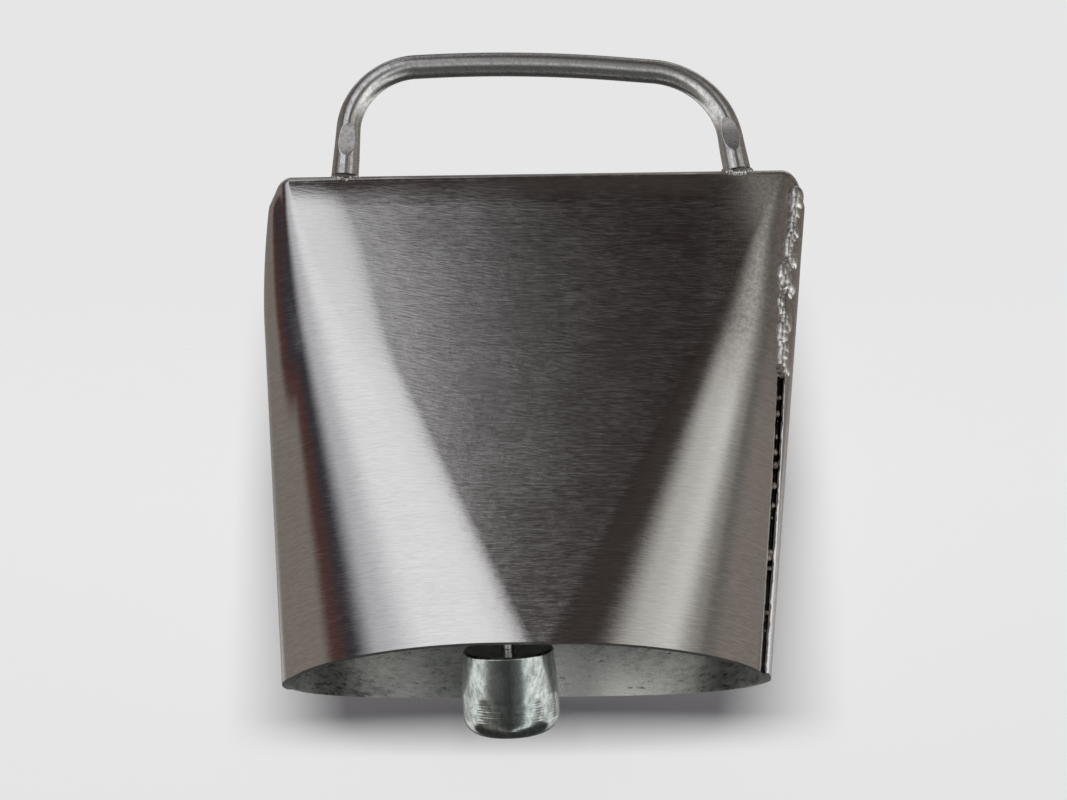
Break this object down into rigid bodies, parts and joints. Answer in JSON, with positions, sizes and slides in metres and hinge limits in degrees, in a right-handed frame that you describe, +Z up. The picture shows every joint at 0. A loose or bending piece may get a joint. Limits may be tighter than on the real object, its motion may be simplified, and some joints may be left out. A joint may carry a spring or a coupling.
{
  "type": "cowbell",
  "caption": "Folded sheet steel cowbell with lapped, welded sides, a bent rod bail and a turned clapper that hangs from a staple inside.",
  "frame": {"origin": "middle of the bail bar's underside, where the bell hangs", "axes": "+Z up, X along the ridge and the mouth's long way, -Y towards the front panel"},
  "size_m": [0.122, 0.054, 0.1603],
  "materials": {
    "body_sheet": "brushed, blued and browned by heat at the sides",
    "bail_rod": "bright drawn bar, polished by handling",
    "weld_bead": "lumpy bare weld metal",
    "hanger_wire": "plain wire",
    "clapper_slug": "turned and zinc plated"
  },
  "bodies": {
    "bell": {"bell_body": "body_sheet", "seam_weld_right": "weld_bead", "seam_weld_left": "weld_bead", "bail_handle": "bail_rod", "bail_weld_left": "weld_bead", "bail_weld_right": "weld_bead", "clapper_staple": "hanger_wire", "staple_weld_left": "weld_bead", "staple_weld_right": "weld_bead"},
    "ring": {"clapper_ring": "hanger_wire"},
    "clapper": {"clapper_rod": "hanger_wire", "clapper_weight": "clapper_slug"}
  },
  "joints": [
    {"name": "front_back_swing", "type": "hinge", "parent": "bell", "child": "ring", "pos_m": [-0.0036, 0, -0.045], "axis": [1, 0, 0], "range_deg": [-6, 6]},
    {"name": "sideways_swing", "type": "hinge", "parent": "ring", "child": "clapper", "pos_m": [-0.0036, 0, -0.05155], "axis": [0, 1, 0], "range_deg": [-14, 12]}
  ]
}
